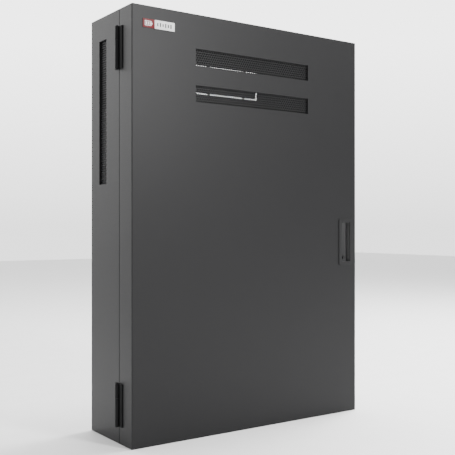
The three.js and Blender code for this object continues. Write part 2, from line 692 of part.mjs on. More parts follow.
const bmsToBreaker = cable([
  [BMS.x[1] + 1, 24, 690], [-30, 24, 690], [-17, 20, 702], [-5, 15, 726], [26, 12, 738],
  [146, 10, 738], [176, 13, 727], [184, 17, 706], [184, 17, BREAKER.z[1] + 1],
]);

mesh("cable_row_link", rowLink, rubberBlack, electrics);
mesh("cable_pack_negative", packNegative, rubberBlack, electrics);
mesh("cable_pack_positive", packPositive, cableRed, electrics);
mesh("cable_fuse_to_breaker", fuseToBreaker, cableRed, electrics);
mesh("cable_bms_to_breaker", bmsToBreaker, rubberBlack, electrics);

export default pack;
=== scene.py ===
"""Looks of a battery pack in a wall cabinet: a folded steel body with a vented door, and the cells
and electrics behind it. Metres, +Z up, door facing -Y, hinges on the -X side."""
import json
import math

import bmesh
import bpy
from mathutils import Matrix, Vector


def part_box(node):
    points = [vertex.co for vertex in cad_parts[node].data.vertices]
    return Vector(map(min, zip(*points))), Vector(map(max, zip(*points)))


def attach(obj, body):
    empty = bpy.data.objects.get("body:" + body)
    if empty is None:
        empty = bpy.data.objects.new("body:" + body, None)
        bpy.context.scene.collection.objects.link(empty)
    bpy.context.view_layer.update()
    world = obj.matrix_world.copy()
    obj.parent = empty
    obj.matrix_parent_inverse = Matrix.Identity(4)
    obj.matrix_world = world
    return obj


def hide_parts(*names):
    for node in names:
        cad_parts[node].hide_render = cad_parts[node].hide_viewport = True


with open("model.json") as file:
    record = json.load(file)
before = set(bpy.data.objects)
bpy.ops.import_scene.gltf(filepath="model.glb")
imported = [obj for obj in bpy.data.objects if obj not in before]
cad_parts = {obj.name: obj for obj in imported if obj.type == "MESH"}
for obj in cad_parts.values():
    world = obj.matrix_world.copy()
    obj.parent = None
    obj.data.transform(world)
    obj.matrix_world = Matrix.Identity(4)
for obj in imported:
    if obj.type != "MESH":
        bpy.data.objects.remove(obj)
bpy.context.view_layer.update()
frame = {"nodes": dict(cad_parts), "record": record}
MM = 0.001
NEAR = 1e-6
SHEET = 1.5 * MM
SHADING_WEIGHT = 100


# ---------- camera, light and floor
CAMERA_AT = Vector((-1.106, -1.5835, 0.475))
CAMERA_FACING = Vector((0.5695, 0.8220, 0.0))
LENS = 62.1
SHIFT_Y = -0.0026
SENSOR_WIDTH = 36
BACKDROP_FACING = Vector((0.1, 0.995, 0.0))
BACKDROP_EDGE = (0.2, 0.65)
BACKDROP_STRENGTH = (0.7, 4.0)
HAZE_HEIGHT = (0.0, 0.22)
HAZE_STRENGTH = (0.55, 1.0)
FLOOR_HALF_SIZE = 9
# Each light: where it stands, where it points, its width and height, and its power in watts.
LIGHTS = {
    "softbox": ((0.62, -2.4, 1.6), (-0.3, 0, 0.9), (0.4, 1.5), 88),
    "overhead": ((2.3, 0.1, 2.9), (0.0, 0.1, 0.1), (2.0, 2.0), 340),
}


def new_object(name, data):
    """An object in the scene."""
    thing = bpy.data.objects.new(name, data)
    bpy.context.scene.collection.objects.link(thing)
    return thing


def new_mesh(name, bm):
    """The mesh of a bmesh, which is then done with."""
    data = bpy.data.meshes.new(name)
    bm.to_mesh(data)
    bm.free()
    return data


def add_camera():
    data = bpy.data.cameras.new("camera")
    data.lens = LENS
    data.sensor_width = SENSOR_WIDTH
    data.shift_y = SHIFT_Y
    camera = new_object("camera", data)
    camera.location = CAMERA_AT
    camera.rotation_euler = CAMERA_FACING.to_track_quat("-Z", "Y").to_euler()
    bpy.context.scene.camera = camera


def add_area_light(name, location, target, size, power):
    data = bpy.data.lights.new(name, "AREA")
    data.shape = "RECTANGLE"
    data.size, data.size_y = size
    data.energy = power
    light = new_object(name, data)
    light.location = location
    aim = Vector(target) - Vector(location)
    light.rotation_euler = aim.to_track_quat("-Z", "Y").to_euler()


def map_range(nodes, source, target):
    """A node that turns one range of values into another."""
    node = nodes.new("ShaderNodeMapRange")
    node.inputs["From Min"].default_value, node.inputs["From Max"].default_value = source
    node.inputs["To Min"].default_value, node.inputs["To Max"].default_value = target
    return node


def add_world():
    """A studio that is bright behind the object and dim on the photographer's side."""
    world = bpy.data.worlds.new("studio")
    world.use_nodes = True
    nodes = world.node_tree.nodes
    links = world.node_tree.links
    direction = nodes.new("ShaderNodeTexCoord")
    along = nodes.new("ShaderNodeVectorMath")
    along.operation = "DOT_PRODUCT"
    along.inputs[1].default_value = BACKDROP_FACING
    links.new(direction.outputs["Generated"], along.inputs[0])
    behind = map_range(nodes, BACKDROP_EDGE, BACKDROP_STRENGTH)
    behind.interpolation_type = "SMOOTHSTEP"
    links.new(along.outputs["Value"], behind.inputs["Value"])
    height = nodes.new("ShaderNodeSeparateXYZ")
    links.new(direction.outputs["Generated"], height.inputs["Vector"])
    haze = map_range(nodes, HAZE_HEIGHT, HAZE_STRENGTH)
    links.new(height.outputs["Z"], haze.inputs["Value"])
    strength = nodes.new("ShaderNodeMath")
    strength.operation = "MULTIPLY"
    links.new(behind.outputs["Result"], strength.inputs[0])
    links.new(haze.outputs["Result"], strength.inputs[1])
    background = nodes["Background"]
    background.inputs["Color"].default_value = (1, 1, 1, 1)
    links.new(strength.outputs["Value"], background.inputs["Strength"])
    bpy.context.scene.world = world


def add_floor():
    bm = bmesh.new()
    bmesh.ops.create_grid(bm, x_segments=8, y_segments=8, size=FLOOR_HALF_SIZE)
    data = new_mesh("floor", bm)
    data.materials.append(finish("floor_white", (0.86, 0.86, 0.86), 0.7, grain=(60, 0.02)))
    new_object("floor", data)


# ---------- materials
GRAIN_RANGE = (0.3, 0.7)
GRAIN_HEIGHT = 0.3 * MM


def finish(name, colour, roughness, metallic=0.0, grain=(900, 0.1), mottle=0.04, mottle_scale=14,
           gloss_change=0.08, stretch=(1, 1, 1), coat=0.0, specular=0.5):
    """A surface with fine grain in its bump and slow changes in its colour and gloss."""
    material = bpy.data.materials.new(name)
    material.use_nodes = True
    nodes = material.node_tree.nodes
    links = material.node_tree.links
    shader = nodes["Principled BSDF"]
    shader.inputs["Metallic"].default_value = metallic
    shader.inputs["Coat Weight"].default_value = coat
    shader.inputs["Coat Roughness"].default_value = 0.25
    shader.inputs["Specular IOR Level"].default_value = specular
    place = nodes.new("ShaderNodeTexCoord")
    scale = nodes.new("ShaderNodeMapping")
    scale.inputs["Scale"].default_value = stretch
    links.new(place.outputs["Object"], scale.inputs["Vector"])

    cloud = nodes.new("ShaderNodeTexNoise")
    cloud.inputs["Scale"].default_value = mottle_scale
    cloud.inputs["Detail"].default_value = 5
    links.new(scale.outputs["Vector"], cloud.inputs["Vector"])
    tint = nodes.new("ShaderNodeMix")
    tint.data_type = "RGBA"
    tint.inputs["A"].default_value = (*[c * (1 - mottle) for c in colour], 1)
    tint.inputs["B"].default_value = (*[min(1, c * (1 + mottle)) for c in colour], 1)
    links.new(cloud.outputs["Fac"], tint.inputs["Factor"])
    links.new(tint.outputs["Result"], shader.inputs["Base Color"])

    speck = nodes.new("ShaderNodeTexNoise")
    speck.inputs["Scale"].default_value = grain[0]
    speck.inputs["Detail"].default_value = 3
    links.new(scale.outputs["Vector"], speck.inputs["Vector"])
    gloss = map_range(nodes, GRAIN_RANGE, (max(0.02, roughness - gloss_change),
                                           min(1, roughness + gloss_change)))
    links.new(speck.outputs["Fac"], gloss.inputs["Value"])
    links.new(gloss.outputs["Result"], shader.inputs["Roughness"])
    bump = nodes.new("ShaderNodeBump")
    bump.inputs["Strength"].default_value = grain[1]
    bump.inputs["Distance"].default_value = GRAIN_HEIGHT
    links.new(speck.outputs["Fac"], bump.inputs["Height"])
    links.new(bump.outputs["Normal"], shader.inputs["Normal"])
    return material


PAINT = finish("dark_powder_coat", (0.0122, 0.0122, 0.0127), 0.42, grain=(1100, 0.16),
               specular=0.16)
GRILLE_PAINT = finish("grille_powder_coat", (0.0125, 0.0125, 0.013), 0.5, grain=(1100, 0.12),
                      specular=0.2)
HINGE_BLACK = finish("hinge_black", (0.010, 0.010, 0.0105), 0.5, grain=(700, 0.08), specular=0.1)
HANDLE_GREY = finish("handle_plastic", (0.0125, 0.0125, 0.013), 0.45, grain=(1600, 0.14),
                     specular=0.16)
# Painted fill light: a pale grey, far lighter than the handle plastic, for the sheet lining the
# finger pocket, so that the pocket's shade renders paler.
POCKET_FILL_LIGHT_GREY = finish("pocket_painted_fill_light", (0.10, 0.10, 0.101), 0.5, grain=(1600, 0.12),
                     specular=0.3)
PADDLE_GREY = finish("paddle_plastic", (0.009, 0.009, 0.0095), 0.36, grain=(1600, 0.12),
                     specular=0.3)
ZINC = finish("zinc_plate", (0.55, 0.56, 0.57), 0.36, 1.0, grain=(300, 0.05), mottle=0.12,
              mottle_scale=60)
ALUMINIUM = finish("brushed_aluminium", (0.72, 0.73, 0.74), 0.32, 1.0, grain=(500, 0.12),
                   stretch=(1, 8, 1))
FILM = finish("cell_film", (0.02, 0.11, 0.36), 0.3, grain=(40, 0.12), mottle=0.08, coat=0.3)
BLACK_PLASTIC = finish("black_plastic", (0.014, 0.014, 0.015), 0.45, grain=(1400, 0.15))
GREY_PLASTIC = finish("module_plastic", (0.30, 0.31, 0.32), 0.42, grain=(1400, 0.12))
CERAMIC = finish("fuse_ceramic", (0.74, 0.72, 0.66), 0.3, grain=(500, 0.05), coat=0.4)
RUBBER = finish("foam_rubber", (0.012, 0.012, 0.013), 0.85, grain=(900, 0.4))
BLACK_SHEATH = finish("black_sheath", (0.014, 0.014, 0.015), 0.5, grain=(800, 0.12))
RED_SHEATH = finish("red_sheath", (0.36, 0.018, 0.014), 0.45, grain=(800, 0.12))
BADGE_RED = finish("badge_red", (0.10, 0.003, 0.006), 0.4, grain=(900, 0.03), specular=0.25)
BADGE_WHITE = finish("badge_white", (0.6, 0.6, 0.6), 0.4, grain=(900, 0.03))
TINNED = finish("tinned_copper", (0.62, 0.60, 0.56), 0.34, 1.0, grain=(400, 0.06), mottle=0.1)
LAMP_GREEN = finish("lamp_green", (0.03, 0.32, 0.08), 0.2, grain=(300, 0.02), coat=0.5)
COPPER = finish("bare_copper", (0.62, 0.30, 0.16), 0.3, 1.0, grain=(500, 0.06), mottle=0.15)

SLOT_MATERIALS = {
    "dark_paint": PAINT, "hinge_black": HINGE_BLACK, "zinc_steel": ZINC,
    "handle_plastic": HANDLE_GREY, "paddle_plastic": PADDLE_GREY, "cell_film": FILM,
    "carrier_plastic": BLACK_PLASTIC, "bare_aluminium": ALUMINIUM, "module_grey": GREY_PLASTIC,
    "ceramic": CERAMIC, "black_rubber": RUBBER, "cable_black": BLACK_SHEATH,
    "cable_red": RED_SHEATH, "badge_red": BADGE_RED, "copper_bar": COPPER,
}
NODE_SLOT = {part["node"]: part["material_slot"] for part in frame["record"]["subparts"]}


# ---------- mesh helpers
def new_piece(name, bm, body, materials, replaces=(), smooth=40):
    """Turns a bmesh into a piece that rides on a body."""
    bm.normal_update()
    data = new_mesh(name, bm)
    for material in materials:
        data.materials.append(material)
    piece = new_object(name, data)
    data.shade_smooth()
    if smooth:
        data.set_sharp_from_angle(angle=math.radians(smooth))
    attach(piece, body)
    if replaces:
        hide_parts(*replaces)
    return piece


def join_rings(bm, rings, material=0):
    """Adds the walls between rings of the same number of vertices."""
    for lower, upper in zip(rings, rings[1:]):
        for step in range(len(lower)):
            after = (step + 1) % len(lower)
            face = bm.faces.new((lower[step], lower[after], upper[after], upper[step]))
            face.material_index = material


def close_ends(bm, rings, material=0):
    """Closes the first and the last ring of a tube."""
    bm.faces.new(rings[0][::-1]).material_index = material
    bm.faces.new(rings[-1]).material_index = material


def hexagon_cosine(angle):
    """What a hexagon's half width is divided by to reach its edge at an angle."""
    return math.cos((angle + math.pi / 6) % (math.pi / 3) - math.pi / 6)


def add_block(bm, low, high, radius=0.0, segments=2, material=0):
    """Adds a box, with rounded edges where radius is given."""
    old = set(bm.faces)
    low, high = Vector(low), Vector(high)
    size = high - low
    place = Matrix.Translation((low + high) / 2) @ Matrix.Diagonal((*size, 1))
    made = bmesh.ops.create_cube(bm, size=1, matrix=place)
    if radius:
        edges = list({edge for vert in made["verts"] for edge in vert.link_edges})
        bmesh.ops.bevel(bm, geom=edges, offset=radius, segments=segments, profile=0.5,
                        affect="EDGES", clamp_overlap=True)
    for face in bm.faces:
        if face not in old:
            face.material_index = material


def add_lathe(bm, origin, axis, profile, sides=24, material=0, hexed=(), unit=MM):
    """Spins a profile of (radius, height) pairs, in units, round an axis. The rings listed in
    hexed are hexagons."""
    turn = Vector(axis).to_track_quat("Z", "Y").to_matrix().to_4x4()
    place = Matrix.Translation(Vector(origin)) @ turn
    rings = []
    for index, (radius, height) in enumerate(profile):
        if radius == 0:
            rings.append([bm.verts.new(place @ Vector((0, 0, height * unit)))])
            continue
        ring = []
        for step in range(sides):
            angle = 2 * math.pi * step / sides
            reach = radius * unit
            if index in hexed:
                reach /= hexagon_cosine(angle)
            ring.append(bm.verts.new(place @ Vector((reach * math.cos(angle),
                                                     reach * math.sin(angle), height * unit))))
        rings.append(ring)
    for lower, upper in zip(rings, rings[1:]):
        for step in range(sides):
            after = (step + 1) % sides
            corners = [lower[step % len(lower)], lower[after % len(lower)],
                       upper[after % len(upper)], upper[step % len(upper)]]
            face = bm.faces.new(list(dict.fromkeys(corners)))
            face.material_index = material


def soften(node, width, segments=2):
    """Rounds the edges of a CAD node where it stands."""
    piece = frame["nodes"][node]
    weld = piece.modifiers.new("weld", "WELD")
    weld.merge_threshold = 0.01 * MM
    bevel = piece.modifiers.new("rounded_edges", "BEVEL")
    bevel.width = width
    bevel.segments = segments
    bevel.limit_method = "ANGLE"
    bevel.angle_limit = math.radians(40)
    smooth = piece.modifiers.new("smooth_edges", "WEIGHTED_NORMAL")
    smooth.mode = "FACE_AREA"
    smooth.weight = SHADING_WEIGHT
    piece.data.shade_smooth()


def dress_nodes():
    """Gives every CAD node the material of its slot."""
    for name, piece in frame["nodes"].items():
        piece.data.materials.clear()
        piece.data.materials.append(SLOT_MATERIALS[NODE_SLOT[name]])


def apply_modifiers(piece):
    """Replaces a piece's mesh with its finished one."""
    bpy.context.view_layer.update()
    graph = bpy.context.evaluated_depsgraph_get()
    done = bpy.data.meshes.new_from_object(piece.evaluated_get(graph))
    piece.modifiers.clear()
    piece.data = done


def cut_shapes(piece, shapes):
    """Cuts closed shapes out of a piece, then keeps only the finished mesh."""
    tools = []
    for bm in shapes:
        tool = new_object("cutter", new_mesh("cutter", bm))
        modifier = piece.modifiers.new("opening", "BOOLEAN")
        modifier.operation = "DIFFERENCE"
        modifier.solver = "EXACT"
        modifier.object = tool
        tools.append(tool)
    apply_modifiers(piece)
    for tool in tools:
        bpy.data.objects.remove(tool)


def cut_openings(piece, boxes):
    """Cuts boxes out of a piece."""
    shapes = []
    for low, high in boxes:
        shapes.append(bmesh.new())
        add_block(shapes[-1], low, high)
    cut_shapes(piece, shapes)


# ---------- folded steel
BEND = 1.8 * MM
CUT_THROUGH = 6 * MM
HANDLE_LAP = 6.2 * MM
FLANGE = 14 * MM
DOOR_LOW, DOOR_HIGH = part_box("door_panel")
BODY_LOW, BODY_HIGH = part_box("cabinet_wrap")


def folded_shell(low, high, closed_front):
    """A skin round a box with bent corners. The door's has a front, and its rear edge is folded in;
    the body's is open at both ends, and its front edge is folded in."""
    bm = bmesh.new()
    add_block(bm, low, high)
    for face in [face for face in bm.faces if abs(face.normal.y) > 0.9]:
        front = abs(face.calc_center_median().y - low.y) < NEAR
        if not (front and closed_front):
            bm.faces.remove(face)
    bm.edges.ensure_lookup_table()

    def is_bend(edge):
        a, b = (vert.co for vert in edge.verts)
        at_front = abs(a.y - low.y) < NEAR and abs(b.y - low.y) < NEAR
        return abs(a.y - b.y) > NEAR or (at_front and closed_front)

    bends = [edge for edge in bm.edges if is_bend(edge)]
    bmesh.ops.bevel(bm, geom=bends, offset=BEND, segments=5, profile=0.5, affect="EDGES")
    open_end = high.y if closed_front else low.y
    rim = [edge for edge in bm.edges if edge.is_boundary
           and all(abs(vert.co.y - open_end) < NEAR for vert in edge.verts)]
    made = bmesh.ops.extrude_edge_only(bm, edges=rim)
    for vert in (v for v in made["geom"] if isinstance(v, bmesh.types.BMVert)):
        vert.co.x = min(max(vert.co.x, low.x + FLANGE), high.x - FLANGE)
        vert.co.z = min(max(vert.co.z, low.z + FLANGE), high.z - FLANGE)
    bmesh.ops.remove_doubles(bm, verts=bm.verts, dist=NEAR)
    bmesh.ops.recalc_face_normals(bm, faces=bm.faces)
    return bm


def thicken(piece, thickness=SHEET):
    solidify = piece.modifiers.new("sheet", "SOLIDIFY")
    solidify.thickness = thickness
    solidify.offset = -1
    solidify.use_even_offset = True
    solidify.use_quality_normals = True


def vent_box(tray_node, axis):
    """The cut-out in front of a grille tray, as a box that runs through the sheet."""
    low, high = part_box(tray_node)
    low, high = low.copy(), high.copy()
    for other in range(3):
        if other == axis:
            low[other] -= CUT_THROUGH
            high[other] += CUT_THROUGH
        else:
            low[other] += TRAY_RIM
            high[other] -= TRAY_RIM
    return low, high


def add_door_panel():
    bm = folded_shell(DOOR_LOW, DOOR_HIGH, True)
    piece = new_piece("door_skin", bm, "door", [PAINT], ["door_panel"])
    thicken(piece)
    dish_low, dish_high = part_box("handle_bezel")
    hole_low = Vector((dish_low.x, DOOR_LOW.y, dish_low.z)) + HANDLE_LAP * Vector((1, -1, 1))
    hole_high = Vector((dish_high.x, DOOR_LOW.y, dish_high.z)) + HANDLE_LAP * Vector((-1, 1, -1))
    vents = [vent_box(node, 1) for node in ("door_grille_lower", "door_grille_upper")]
    cut_openings(piece, [(hole_low, hole_high), *vents])
    finish_edges(piece)


def finish_edges(piece, width=0.35 * MM):
    bevel = piece.modifiers.new("edge", "BEVEL")
    bevel.width = width
    bevel.segments = 2
    bevel.limit_method = "ANGLE"
    bevel.angle_limit = math.radians(50)
    bevel.miter_outer = "MITER_ARC"
    apply_modifiers(piece)
    piece.data.shade_smooth()
    even_normals(piece)


def even_normals(piece):
    """Keeps large flat faces flat in the shading, whatever small rounded edges lie beside them."""
    weighted = piece.modifiers.new("even_normals", "WEIGHTED_NORMAL")
    weighted.mode = "FACE_AREA"
    weighted.weight = SHADING_WEIGHT
    weighted.thresh = 0.01


def add_cabinet_skin():
    bm = folded_shell(BODY_LOW, BODY_HIGH, False)
    piece = new_piece("cabinet_skin", bm, "cabinet", [PAINT], ["cabinet_wrap"])
    thicken(piece)
    vents = [vent_box(node, 0) for node in ("side_grille_left", "side_grille_right")]
    cut_openings(piece, vents)
    finish_edges(piece)


# ---------- back panel
SLIT_X = (-152 * MM, 154 * MM)
SLIT_Z = (811.75 * MM, 884.25 * MM)
SLIT_WIDTH = 3 * MM
BRIDGE_MIDDLES = (-109.16 * MM, 1 * MM, 111.16 * MM)
BRIDGE_WIDTH = 8 * MM
KEYHOLES = [(x * MM, z * MM) for x in (-250, 250) for z in (60, 760)]
PLATE_FEET = [(x * MM, z * MM) for x in (-300, 300) for z in (530, 725)]


def add_back_panel():
    """The wall side: a knock-out plate held by bridges, keyholes and countersunk screws."""
    low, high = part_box("back_panel")
    grow = Vector((0.25 * MM, 0, 0.25 * MM))
    bm = bmesh.new()
    add_block(bm, low - grow, high + grow)
    piece = new_piece("back_skin", bm, "cabinet", [PAINT], ["back_panel"])
    y0, y1 = low.y - 2 * MM, high.y + 2 * MM
    stops = [SLIT_X[0]]
    for middle in BRIDGE_MIDDLES:
        stops += [middle - BRIDGE_WIDTH / 2, middle + BRIDGE_WIDTH / 2]
    stops.append(SLIT_X[1])
    slots = []
    for z in (SLIT_Z[0], SLIT_Z[1] - SLIT_WIDTH):
        for x0, x1 in zip(stops[::2], stops[1::2]):
            slots.append(((x0, y0, z), (x1, y1, z + SLIT_WIDTH)))
    for x in (SLIT_X[0], SLIT_X[1] - SLIT_WIDTH):
        slots.append(((x, y0, SLIT_Z[0] + 1 * MM), (x + SLIT_WIDTH, y1, SLIT_Z[1] - 1 * MM)))
    for x, z in KEYHOLES:
        slots.append(((x - 4.5 * MM, y0, z), (x + 4.5 * MM, y1, z + 16 * MM)))
    cut_openings(piece, slots)
    holes = bmesh.new()
    for x, z in KEYHOLES:
        add_lathe(holes, (x, y0, z), (0, 1, 0),
                  [(0, 0), (8, 0), (8, (y1 - y0) / MM), (0, (y1 - y0) / MM)], 32)
    for x, z in PLATE_FEET:
        add_lathe(holes, (x, high.y + 0.2 * MM, z), (0, -1, 0),
                  [(0, 0), (4.9, 0), (3.6, 1.2), (0, 1.2)], 32)
    bmesh.ops.recalc_face_normals(holes, faces=holes.faces)
    cut_shapes(piece, [holes])
    finish_edges(piece, 0.2 * MM)

    bm = bmesh.new()
    for x, z in PLATE_FEET:
        add_lathe(bm, (x, high.y - 0.95 * MM, z), (0, 1, 0),
                  [(0, 0), (3.7, 0), (4.5, 0.75), (4.2, 0.9), (1.9, 0.9), (1.9, 0.3), (0, 0.3)],
                  24, hexed=(4, 5))
    bmesh.ops.recalc_face_normals(bm, faces=bm.faces)
    new_piece("back_screws", bm, "cabinet", [ZINC])


# ---------- perforated grilles
HOLE_PITCH = 6.0 * MM
HOLE_RADIUS = 2.3 * MM
TRAY_DEPTH = 4 * MM
TRAY_RIM = 8 * MM
TRAY_SHEET = 0.9 * MM


def add_perforated_sheet(bm, half_w, half_h, depth, sides=12):
    """A sheet of staggered round holes, made of hexagonal tiles, across x and z."""
    row_step = HOLE_PITCH * math.sqrt(3) / 2
    rows = math.ceil(half_h / row_step)
    columns = math.ceil(half_w / HOLE_PITCH)
    for row in range(-rows, rows + 1):
        shift = HOLE_PITCH / 2 if row % 2 else 0
        for column in range(-columns - 1, columns + 1):
            cx, cz = column * HOLE_PITCH + shift, row * row_step
            if abs(cx) > half_w or abs(cz) > half_h:
                continue
            rings = ([], [])
            for step in range(sides):
                angle = 2 * math.pi * step / sides
                reach = HOLE_PITCH / 2 / hexagon_cosine(angle)
                for ring, radius in zip(rings, (reach, HOLE_RADIUS)):
                    ring.append(bm.verts.new((cx + radius * math.cos(angle), depth,
                                              cz + radius * math.sin(angle))))
            join_rings(bm, rings)


def add_frame_ring(bm, inner, outer):
    """A ring between two rectangles, each given as (half width, half height, y)."""
    rings = []
    for half_w, half_h, y in (inner, outer):
        corners = ((-1, -1), (1, -1), (1, 1), (-1, 1))
        rings.append([bm.verts.new((sx * half_w, y, sz * half_h)) for sx, sz in corners])
    join_rings(bm, rings)


def add_grille(node, axis, outward, body):
    """A shallow tray behind a vent: a rim, four short walls and a perforated floor."""
    low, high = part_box(node)
    centre = (low + high) / 2
    size = high - low
    half_w = (size.y if axis == 0 else size.x) / 2 - TRAY_RIM
    half_h = size.z / 2 - TRAY_RIM
    floor = TRAY_DEPTH - TRAY_SHEET / 2
    rim_y = TRAY_SHEET / 2
    lap = 4 * MM
    bm = bmesh.new()
    add_perforated_sheet(bm, half_w + lap / 2, half_h + lap / 2, floor)
    bmesh.ops.remove_doubles(bm, verts=bm.verts, dist=NEAR)
    add_frame_ring(bm, (half_w, half_h, floor), (half_w + lap, half_h + lap, floor - 0.02 * MM))
    add_frame_ring(bm, (half_w, half_h, rim_y), (half_w, half_h, floor))
    add_frame_ring(bm, (half_w, half_h, rim_y),
                   (half_w + TRAY_RIM - 0.4 * MM, half_h + TRAY_RIM - 0.4 * MM, rim_y))
    bmesh.ops.recalc_face_normals(bm, faces=bm.faces)
    front = Vector((centre.x, low.y, centre.z))
    turn = Matrix.Identity(4)
    if axis == 0:
        front = Vector((high.x if outward > 0 else low.x, centre.y, centre.z))
        turn = Matrix.Rotation(math.radians(90 * outward), 4, "Z")
    bm.transform(Matrix.Translation(front) @ turn)
    piece = new_piece(node + "_sheet", bm, body, [GRILLE_PAINT], [node], smooth=0)
    thicken(piece, TRAY_SHEET * 0.9)
    piece.modifiers["sheet"].offset = 0
    piece.modifiers["sheet"].use_even_offset = False
    apply_modifiers(piece)
    piece.data.shade_flat()


# ---------- handle
POCKET_EDGE = Vector((8.5 * MM, 9.0 * MM))
POCKET_WALL = 1.8 * MM
PIVOT_ROOM = 6 * MM


def add_pocket_fill_light_liner():
    """A thin pale sheet lining the finger pocket, clear of the paddle's pivots: painted fill light,
    far lighter than the handle plastic so that the pocket's shade renders paler.
    """
    low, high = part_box("handle_bezel")
    skin = 0.25 * MM
    left, right = low.x + POCKET_EDGE.x, high.x - POCKET_EDGE.x
    bottom, top = low.z + POCKET_EDGE.y, high.z - POCKET_EDGE.y
    front, back = low.y + 2.2 * MM, high.y - POCKET_WALL
    bm = bmesh.new()
    for x0, x1, y0, y1, z0, z1 in (
            (right - skin, right, front, back, bottom, top),
            (left, right, back - skin, back, bottom, top),
            (left + PIVOT_ROOM, right, front, back, bottom, bottom + skin),
            (left + PIVOT_ROOM, right, front, back, top - skin, top)):
        add_block(bm, (x0, y0, z0), (x1, y1, z1), 0.1 * MM, 1)
    new_piece("pocket_fill_light_liner", bm, "door", [POCKET_FILL_LIGHT_GREY])


def add_paddle():
    """The pull: a plate that dips at its pivot side and rolls over into a lip at its free side."""
    low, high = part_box("handle_paddle")
    front = low.y
    outline = [(0.0, 4.2), (0.4, 3.6), (4.5, 2.9), (8.5, 1.2), (11.5, 0.15), (13.2, 0.0),
               (14.8, 0.25), (15.7, 1.0), (16.0, 2.0), (16.0, 7.4), (15.5, 8.0), (14.0, 8.0),
               (13.5, 7.4), (13.5, 3.6), (12.9, 3.0), (11.6, 3.0), (8.9, 4.0), (4.9, 5.7),
               (0.4, 6.4), (0.0, 6.0)]
    pin_reach = 2.2 * MM
    bm = bmesh.new()
    levels = []
    for z in (low.z + pin_reach, high.z - pin_reach):
        levels.append([bm.verts.new((low.x + x * MM, front + y * MM, z)) for x, y in outline])
    join_rings(bm, levels)
    close_ends(bm, levels)
    bmesh.ops.recalc_face_normals(bm, faces=bm.faces)
    piece = new_piece("paddle_pull", bm, "paddle", [PADDLE_GREY],
                      ["handle_paddle"], smooth=30)
    lock_low, lock_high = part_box("lock_cylinder")
    centre = (lock_low + lock_high) / 2
    hole = bmesh.new()
    add_lathe(hole, (centre.x, low.y - 5 * MM, centre.z), (0, 1, 0),
              [(0, 0), (4.6, 0), (4.6, 20), (0, 20)], 32)
    bmesh.ops.recalc_face_normals(hole, faces=hole.faces)
    cut_shapes(piece, [hole])
    finish_edges(piece, 0.25 * MM)

    bm = bmesh.new()
    for tip, inward in ((low.z, 1), (high.z, -1)):
        ends = sorted(tip + inward * (pin_reach + step * MM) for step in (0.05, 2))
        add_block(bm, (low.x + 0.6 * MM, front + 0.3 * MM, ends[0]),
                  (low.x + 4.6 * MM, front + 4.6 * MM, ends[1]), 0.3 * MM, 2)
        add_lathe(bm, (low.x + 2.5 * MM, front + 1.5 * MM, tip), (0, 0, inward),
                  [(0, 0), (0.9, 0), (1.15, 0.25), (1.15, 3), (0, 3)], 20)
    bmesh.ops.recalc_face_normals(bm, faces=bm.faces)
    new_piece("paddle_pins", bm, "paddle", [PADDLE_GREY])


# ---------- badge
def add_badge():
    """A two-colour plate with a generic battery gauge on it."""
    low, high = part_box("badge")
    split = low.x + 29 * MM
    proud = 0.12 * MM
    face = low.y + proud
    bm = bmesh.new()
    add_block(bm, (low.x, face, low.z), (split, high.y, high.z), 0.2 * MM, 2, 0)
    add_block(bm, (split, face, low.z), high, 0.2 * MM, 2, 1)
    middle = (low.z + high.z) / 2
    # Bars of the gauge, in millimetres: left, right, bottom, top.
    gauge = ((5, 21, 4.2, 5.2), (5, 21, -5.2, -4.2), (5, 6, -4.2, 4.2), (20, 21, -4.2, 4.2),
             (21, 23, -2, 2), (7.5, 10, -3, 3), (12, 14.5, -3, 3), (16.5, 19, -3, 3))
    for x0, x1, z0, z1 in gauge:
        add_block(bm, (low.x + x0 * MM, low.y, middle + z0 * MM),
                  (low.x + x1 * MM, face + proud, middle + z1 * MM), 0, 1, 1)
    for bar in range(6):
        x = split + (6 + 6.6 * bar) * MM
        reach = (3.5, 4.5, 3.0, 4.5, 3.5, 4.5)[bar] * MM
        add_block(bm, (x, low.y, middle - reach), (x + 3.2 * MM, face + proud, middle + reach),
                  0, 1, 2)
    new_piece("badge_plate", bm, "door", [BADGE_RED, BADGE_WHITE, BLACK_PLASTIC],
              ["badge"])


# ---------- shapes shared by the inside
def add_tower(bm, centre, half_x, half_y, corner, levels, steps=4):
    """Stacks rounded rectangles. Each level is (inset, height, material of the band below it),
    in millimetres."""
    rings = []
    for inset, height, _ in levels:
        inset, height = inset * MM, height * MM
        radius = max(corner - inset, 0.01 * MM)
        ring = []
        for sx, sy, start in ((1, 1, 0), (-1, 1, 90), (-1, -1, 180), (1, -1, 270)):
            cx = centre[0] + sx * (half_x - inset - radius)
            cy = centre[1] + sy * (half_y - inset - radius)
            for step in range(steps + 1):
                angle = math.radians(start + 90 * step / steps)
                ring.append(bm.verts.new((cx + radius * math.cos(angle),
                                          cy + radius * math.sin(angle), centre[2] + height)))
        rings.append(ring)
    for index in range(1, len(rings)):
        join_rings(bm, rings[index - 1:index + 1], levels[index][2])
    bottom = bm.faces.new(rings[0][::-1])
    bottom.material_index = levels[0][2]
    top = bm.faces.new(rings[-1])
    top.material_index = levels[-1][2]


def add_hex_bolt(bm, origin, axis, size, material=0):
    """A flanged hexagon head with its washer, size across half the flats."""
    profile = [(1.5, 0), (1.5, 0.16), (1.38, 0.22), (1.38, 0.36), (1, 0.44), (1, 1),
               (0.88, 1.12), (0, 1.12)]
    add_lathe(bm, origin, axis, profile, 24, material, (4, 5), size)


def add_socket_screw(bm, origin, axis, size, material=0):
    """A button head with a hexagonal socket."""
    profile = [(1, 0), (1, 0.3), (0.86, 0.62), (0.56, 0.8), (0.42, 0.8), (0.42, 0.35), (0, 0.35)]
    add_lathe(bm, origin, axis, profile, 18, material, (4, 5), size)


